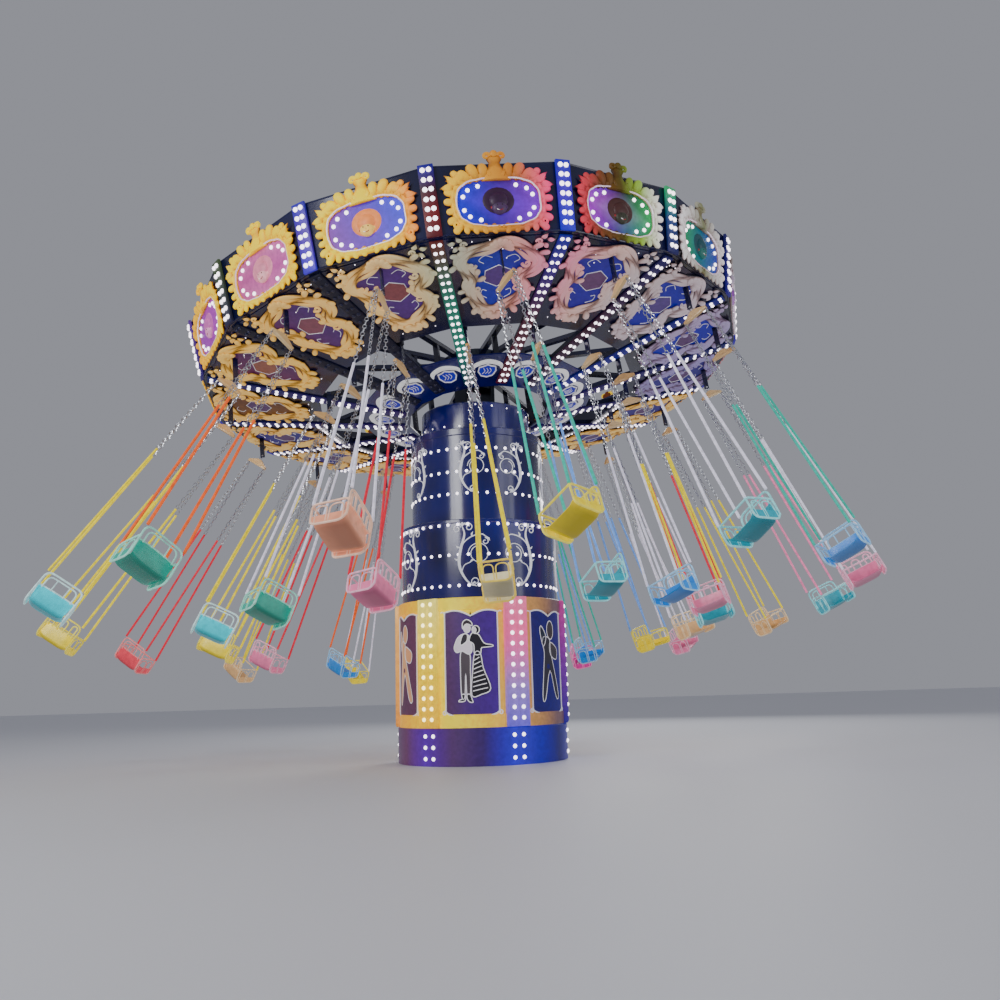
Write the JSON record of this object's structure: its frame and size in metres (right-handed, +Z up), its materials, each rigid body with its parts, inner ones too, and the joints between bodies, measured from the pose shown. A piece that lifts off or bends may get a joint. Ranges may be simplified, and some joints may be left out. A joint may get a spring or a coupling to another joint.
{
  "type": "chair swing ride",
  "caption": "Fairground chair swing ride: a telescoping column on a round drum carries a tilted, turning canopy with a decorated crown, and rings of single chairs on chains.",
  "frame": {"origin": "on the floor, at the middle of the round base", "axes": "+Z up along the column, -Y towards the side that the picture shows, +X to its right"},
  "size_m": [10.6174, 10.6427, 6.7089],
  "materials": {
    "plinth_paint": "satin",
    "gold_paint": "gloss",
    "navy_paint": "gloss",
    "bearing_steel": "satin",
    "arm_paint": "satin",
    "soffit_paint": "gloss",
    "picture_panel": "gloss",
    "bulb": "gloss",
    "chain_steel": "polished",
    "hanger_paint": "gloss",
    "seat_cyan": "gloss",
    "seat_yellow": "gloss",
    "seat_coral": "gloss",
    "seat_teal": "gloss",
    "seat_peach": "gloss",
    "seat_blue": "gloss",
    "seat_pink": "gloss",
    "seat_magenta": "gloss",
    "seat_tan": "gloss",
    "seat_cream": "gloss"
  },
  "bodies": {
    "base": {"base_plinth": "plinth_paint", "base_drum": "gold_paint", "pilaster_1": "gold_paint", "pilaster_2": "gold_paint", "pilaster_3": "gold_paint", "pilaster_4": "gold_paint", "pilaster_5": "gold_paint", "pilaster_6": "gold_paint", "lower_column": "navy_paint"},
    "lift": {"upper_column": "navy_paint", "tilt_bearing": "bearing_steel"},
    "tilt": {"tilt_head": "bearing_steel"},
    "canopy": {"canopy_hub": "bearing_steel", "cone_collar": "navy_paint", "arm_frame_1": "arm_paint", "arm_frame_2": "arm_paint", "arm_frame_3": "arm_paint", "arm_frame_4": "arm_paint", "soffit_1": "soffit_paint", "soffit_2": "soffit_paint", "soffit_3": "soffit_paint", "soffit_4": "soffit_paint", "crown_1": "gold_paint", "crown_2": "gold_paint", "crown_3": "gold_paint", "crown_4": "gold_paint"},
    "outer_chair_1": {"outer_chair_1": "seat_yellow"},
    "outer_chair_2": {"outer_chair_2": "seat_teal"},
    "outer_chair_3": {"outer_chair_3": "seat_blue"},
    "outer_chair_4": {"outer_chair_4": "seat_pink"},
    "outer_chair_5": {"outer_chair_5": "seat_teal"},
    "outer_chair_6": {"outer_chair_6": "seat_tan"},
    "outer_chair_7": {"outer_chair_7": "seat_pink"},
    "outer_chair_8": {"outer_chair_8": "seat_magenta"},
    "outer_chair_9": {"outer_chair_9": "seat_blue"},
    "outer_chair_10": {"outer_chair_10": "seat_yellow"},
    "outer_chair_11": {"outer_chair_11": "seat_tan"},
    "outer_chair_12": {"outer_chair_12": "seat_coral"},
    "outer_chair_13": {"outer_chair_13": "seat_yellow"},
    "outer_chair_14": {"outer_chair_14": "seat_cyan"},
    "outer_chair_15": {"outer_chair_15": "seat_teal"},
    "outer_chair_16": {"outer_chair_16": "seat_peach"},
    "inner_chair_1": {"inner_chair_1": "seat_cream"},
    "inner_chair_2": {"inner_chair_2": "seat_teal"},
    "inner_chair_3": {"inner_chair_3": "seat_blue"},
    "inner_chair_4": {"inner_chair_4": "seat_pink"},
    "inner_chair_5": {"inner_chair_5": "seat_cyan"},
    "inner_chair_6": {"inner_chair_6": "seat_tan"},
    "inner_chair_7": {"inner_chair_7": "seat_yellow"},
    "inner_chair_8": {"inner_chair_8": "seat_blue"},
    "inner_chair_9": {"inner_chair_9": "seat_coral"},
    "inner_chair_10": {"inner_chair_10": "seat_tan"},
    "inner_chair_11": {"inner_chair_11": "seat_blue"},
    "inner_chair_12": {"inner_chair_12": "seat_pink"},
    "inner_chair_13": {"inner_chair_13": "seat_yellow"},
    "inner_chair_14": {"inner_chair_14": "seat_cyan"},
    "inner_chair_15": {"inner_chair_15": "seat_teal"},
    "inner_chair_16": {"inner_chair_16": "seat_pink"}
  },
  "joints": [
    {"name": "lift", "type": "slide", "parent": "base", "child": "lift", "axis": [0, 0, 1], "range_m": [-0.5, 0.3]},
    {"name": "tilt", "type": "hinge", "parent": "lift", "child": "tilt", "pos_m": [0, 0, 5.2], "axis": [-0.7804, -0.6252, 0], "range_deg": [-9, 5]},
    {"name": "spin", "type": "hinge", "parent": "tilt", "child": "canopy", "pos_m": [0, 0, 5.2], "axis": [-0.0978, 0.1221, 0.9877], "continuous": true},
    {"name": "outer_chair_1_swing", "type": "hinge", "parent": "canopy", "child": "outer_chair_1", "pos_m": [0.34461, -3.39145, 5.31922], "axis": [-0.9909, -0.1037, -0.0853], "range_deg": [-23.41, 21.59]},
    {"name": "outer_chair_2_swing", "type": "hinge", "parent": "canopy", "child": "outer_chair_2", "pos_m": [1.60828, -3.00164, 5.39618], "axis": [-0.8803, -0.4735, -0.0286], "range_deg": [-20.15, 24.85]},
    {"name": "outer_chair_3_swing", "type": "hinge", "parent": "canopy", "child": "outer_chair_3", "pos_m": [2.63202, -2.161, 5.39365], "axis": [-0.6356, -0.7713, 0.0324], "range_deg": [-18.23, 26.77]},
    {"name": "outer_chair_4_swing", "type": "hinge", "parent": "canopy", "child": "outer_chair_4", "pos_m": [3.25997, -0.99749, 5.31201], "axis": [-0.2942, -0.9516, 0.0885], "range_deg": [-17.93, 27.07]},
    {"name": "outer_chair_5_swing", "type": "hinge", "parent": "canopy", "child": "outer_chair_5", "pos_m": [3.39653, 0.31174, 5.16371], "axis": [0.092, -0.9871, 0.1311], "range_deg": [-19.3, 25.7]},
    {"name": "outer_chair_6_swing", "type": "hinge", "parent": "canopy", "child": "outer_chair_6", "pos_m": [3.02092, 1.56738, 4.9713], "axis": [0.4642, -0.8723, 0.1538], "range_deg": [-22.13, 22.87]},
    {"name": "outer_chair_7_swing", "type": "hinge", "parent": "canopy", "child": "outer_chair_7", "pos_m": [2.19031, 2.57827, 4.7641], "axis": [0.7658, -0.6247, 0.153], "range_deg": [-25.99, 19.01]},
    {"name": "outer_chair_8_swing", "type": "hinge", "parent": "canopy", "child": "outer_chair_8", "pos_m": [1.03116, 3.1905, 4.57363], "axis": [0.9507, -0.2819, 0.129], "range_deg": [-30.3, 14.7]},
    {"name": "outer_chair_9_swing", "type": "hinge", "parent": "canopy", "child": "outer_chair_9", "pos_m": [-0.28006, 3.31088, 4.4289], "axis": [0.9909, 0.1037, 0.0853], "range_deg": [-34.39, 10.61]},
    {"name": "outer_chair_10_swing", "type": "hinge", "parent": "canopy", "child": "outer_chair_10", "pos_m": [-1.54373, 2.92107, 4.35195], "axis": [0.8803, 0.4735, 0.0286], "range_deg": [-37.65, 7.35]},
    {"name": "outer_chair_11_swing", "type": "hinge", "parent": "canopy", "child": "outer_chair_11", "pos_m": [-2.56746, 2.08042, 4.35448], "axis": [0.6356, 0.7713, -0.0324], "range_deg": [-39.57, 5.43]},
    {"name": "outer_chair_12_swing", "type": "hinge", "parent": "canopy", "child": "outer_chair_12", "pos_m": [-3.19541, 0.91691, 4.43611], "axis": [0.2942, 0.9516, -0.0885], "range_deg": [-39.87, 5.13]},
    {"name": "outer_chair_13_swing", "type": "hinge", "parent": "canopy", "child": "outer_chair_13", "pos_m": [-3.33198, -0.39232, 4.58442], "axis": [-0.092, 0.9871, -0.1311], "range_deg": [-38.5, 6.5]},
    {"name": "outer_chair_14_swing", "type": "hinge", "parent": "canopy", "child": "outer_chair_14", "pos_m": [-2.95636, -1.64796, 4.77682], "axis": [-0.4642, 0.8723, -0.1538], "range_deg": [-35.67, 9.33]},
    {"name": "outer_chair_15_swing", "type": "hinge", "parent": "canopy", "child": "outer_chair_15", "pos_m": [-2.12575, -2.65884, 4.98403], "axis": [-0.7658, 0.6247, -0.153], "range_deg": [-31.81, 13.19]},
    {"name": "outer_chair_16_swing", "type": "hinge", "parent": "canopy", "child": "outer_chair_16", "pos_m": [-0.96661, -3.27108, 5.1745], "axis": [-0.9507, 0.2819, -0.129], "range_deg": [-27.5, 17.5]},
    {"name": "inner_chair_1_swing", "type": "hinge", "parent": "canopy", "child": "inner_chair_1", "pos_m": [-0.07167, -2.14578, 4.97215], "axis": [-0.9936, 0.0442, -0.1039], "range_deg": [-16.8, 28.2]},
    {"name": "inner_chair_2_swing", "type": "hinge", "parent": "canopy", "child": "inner_chair_2", "pos_m": [0.73776, -2.02252, 5.03708], "axis": [-0.9395, -0.3386, -0.0512], "range_deg": [-13.16, 31.84]},
    {"name": "inner_chair_3_swing", "type": "hinge", "parent": "canopy", "child": "inner_chair_3", "pos_m": [1.44202, -1.60027, 5.05462], "axis": [-0.7424, -0.6699, 0.0093], "range_deg": [-10.68, 34.32]},
    {"name": "inner_chair_4_swing", "type": "hinge", "parent": "canopy", "child": "inner_chair_4", "pos_m": [1.93389, -0.94332, 5.02213], "axis": [-0.4323, -0.8991, 0.0683], "range_deg": [-9.74, 35.26]},
    {"name": "inner_chair_5_swing", "type": "hinge", "parent": "canopy", "child": "inner_chair_5", "pos_m": [2.13849, -0.15167, 4.94454], "axis": [-0.0563, -0.9915, 0.117], "range_deg": [-10.49, 34.51]},
    {"name": "inner_chair_6_swing", "type": "hinge", "parent": "canopy", "child": "inner_chair_6", "pos_m": [2.02468, 0.65414, 4.83366], "axis": [0.3282, -0.933, 0.1478], "range_deg": [-12.8, 32.2]},
    {"name": "inner_chair_7_swing", "type": "hinge", "parent": "canopy", "child": "inner_chair_7", "pos_m": [1.60977, 1.35145, 4.70638], "axis": [0.6627, -0.7324, 0.1562], "range_deg": [-16.34, 28.66]},
    {"name": "inner_chair_8_swing", "type": "hinge", "parent": "canopy", "child": "inner_chair_8", "pos_m": [0.95693, 1.83408, 4.58207], "axis": [0.8964, -0.4203, 0.1407], "range_deg": [-20.55, 24.45]},
    {"name": "inner_chair_9_swing", "type": "hinge", "parent": "canopy", "child": "inner_chair_9", "pos_m": [0.16556, 2.02858, 4.47966], "axis": [0.9936, -0.0442, 0.1039], "range_deg": [-24.8, 20.2]},
    {"name": "inner_chair_10_swing", "type": "hinge", "parent": "canopy", "child": "inner_chair_10", "pos_m": [-0.64387, 1.90532, 4.41474], "axis": [0.9395, 0.3386, 0.0512], "range_deg": [-28.44, 16.56]},
    {"name": "inner_chair_11_swing", "type": "hinge", "parent": "canopy", "child": "inner_chair_11", "pos_m": [-1.34812, 1.48307, 4.39719], "axis": [0.7424, 0.6699, -0.0093], "range_deg": [-30.92, 14.08]},
    {"name": "inner_chair_12_swing", "type": "hinge", "parent": "canopy", "child": "inner_chair_12", "pos_m": [-1.84, 0.82611, 4.42969], "axis": [0.4323, 0.8991, -0.0683], "range_deg": [-31.86, 13.14]},
    {"name": "inner_chair_13_swing", "type": "hinge", "parent": "canopy", "child": "inner_chair_13", "pos_m": [-2.0446, 0.03447, 4.50728], "axis": [0.0563, 0.9915, -0.117], "range_deg": [-31.11, 13.89]},
    {"name": "inner_chair_14_swing", "type": "hinge", "parent": "canopy", "child": "inner_chair_14", "pos_m": [-1.93078, -0.77134, 4.61816], "axis": [-0.3282, 0.933, -0.1478], "range_deg": [-28.8, 16.2]},
    {"name": "inner_chair_15_swing", "type": "hinge", "parent": "canopy", "child": "inner_chair_15", "pos_m": [-1.51587, -1.46865, 4.74544], "axis": [-0.6627, 0.7324, -0.1562], "range_deg": [-25.26, 19.74]},
    {"name": "inner_chair_16_swing", "type": "hinge", "parent": "canopy", "child": "inner_chair_16", "pos_m": [-0.86304, -1.95129, 4.86975], "axis": [-0.8964, 0.4203, -0.1407], "range_deg": [-21.05, 23.95]}
  ]
}
